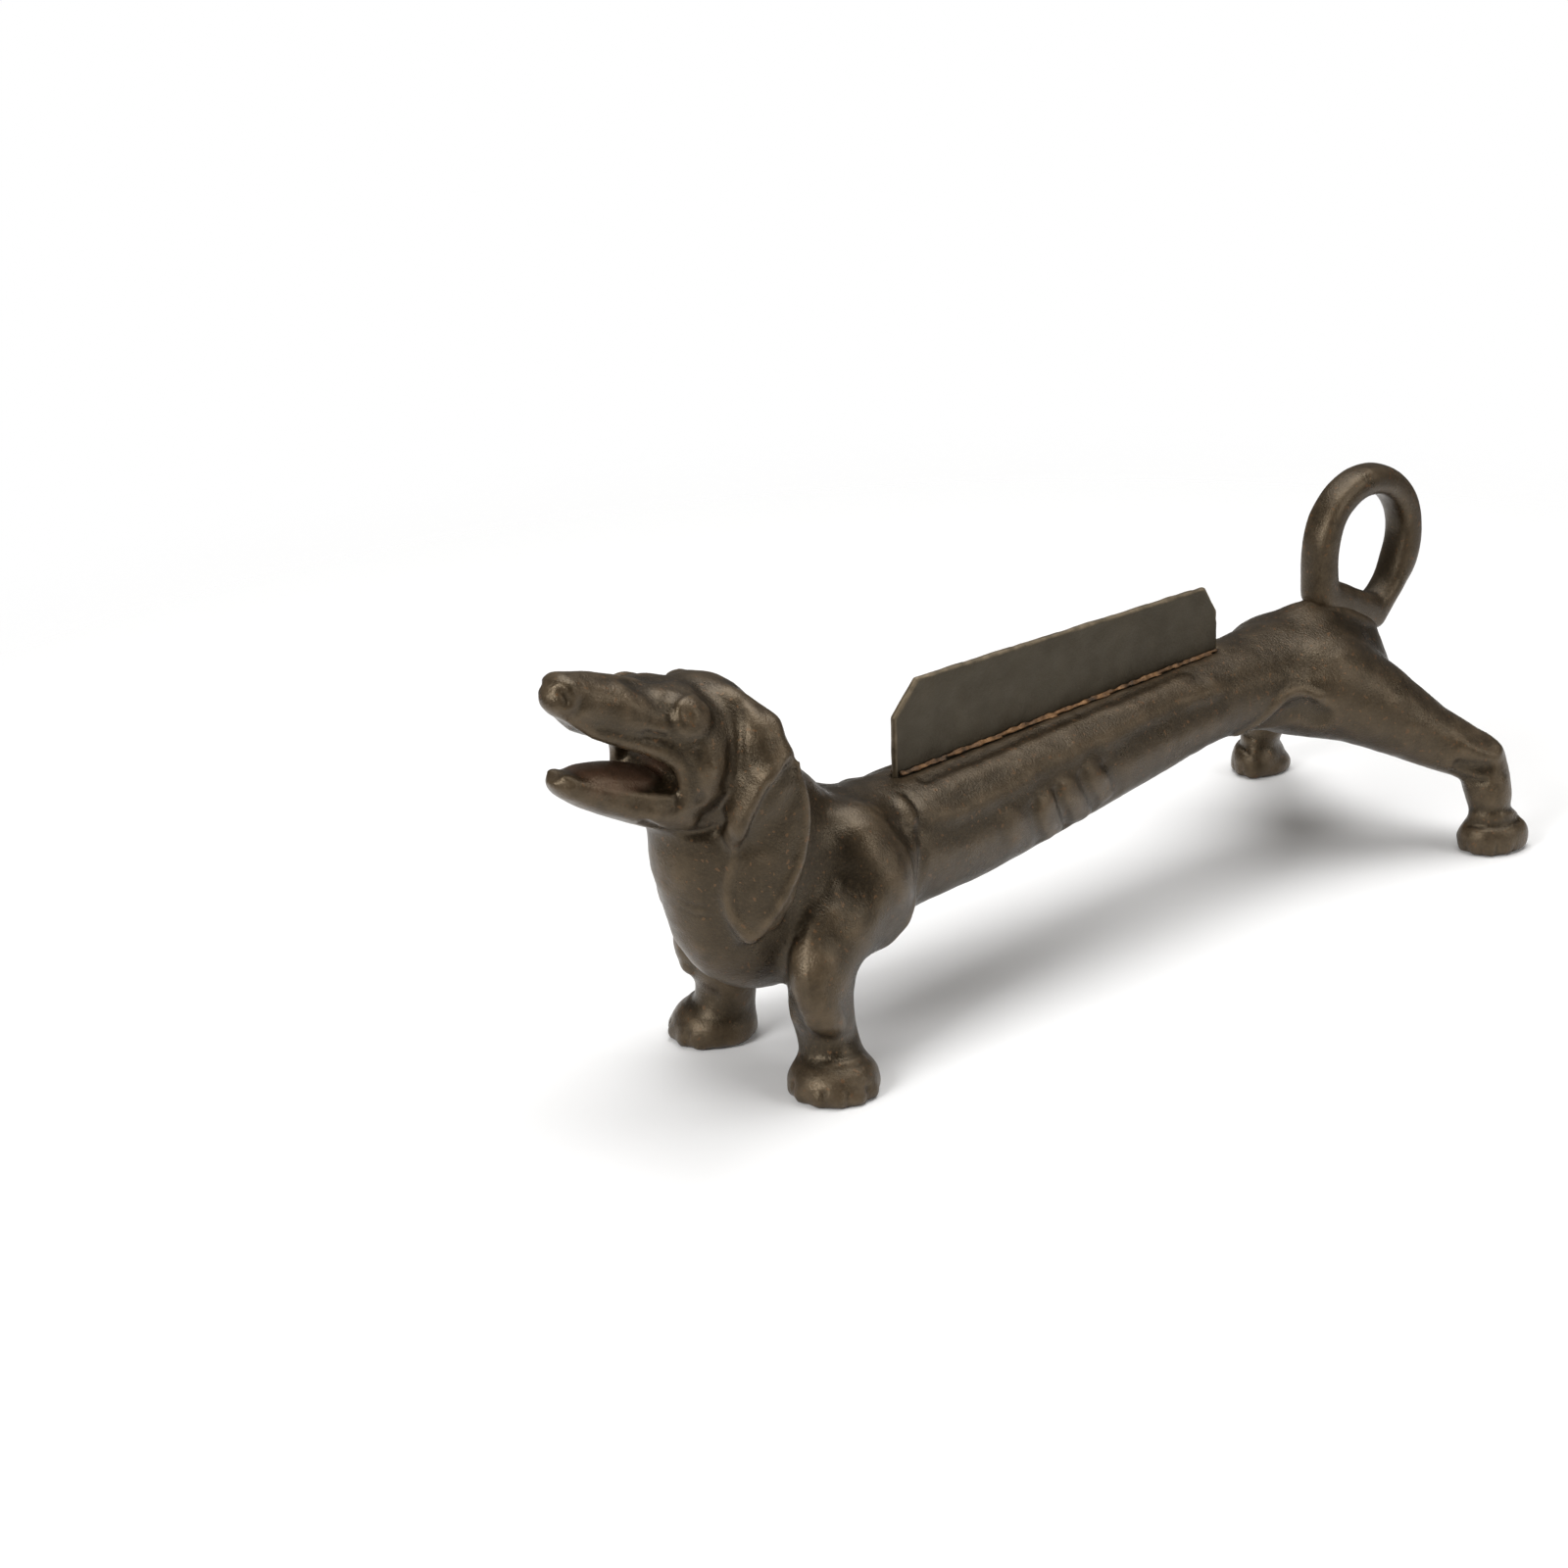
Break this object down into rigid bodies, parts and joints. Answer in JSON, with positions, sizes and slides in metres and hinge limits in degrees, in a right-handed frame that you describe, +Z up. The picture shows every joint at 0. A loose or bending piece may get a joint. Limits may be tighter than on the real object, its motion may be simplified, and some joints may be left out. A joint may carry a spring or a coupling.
{
  "type": "andiron",
  "caption": "Cast-iron andiron shaped as a long dachshund with an open mouth, a steel log plate standing along its spine and a ring-shaped tail.",
  "frame": {"origin": "on the hearth, under the middle of the bounding box", "axes": "+Z up, -Y the way the dog looks, +X its left flank"},
  "size_m": [0.1746, 0.5202, 0.2014],
  "materials": {
    "waxed_iron": "brown-black wax over fine cast grain, semi-gloss",
    "bar_steel": "aged brown-grey mill finish, worn bright along the edges",
    "braze": "dull as-run filler with rust bloom"
  },
  "bodies": {
    "root": {"dog_casting": "waxed_iron", "tail_ring": "waxed_iron", "log_plate": "bar_steel", "braze_fillet_left": "braze", "braze_fillet_right": "braze"}
  },
  "joints": []
}
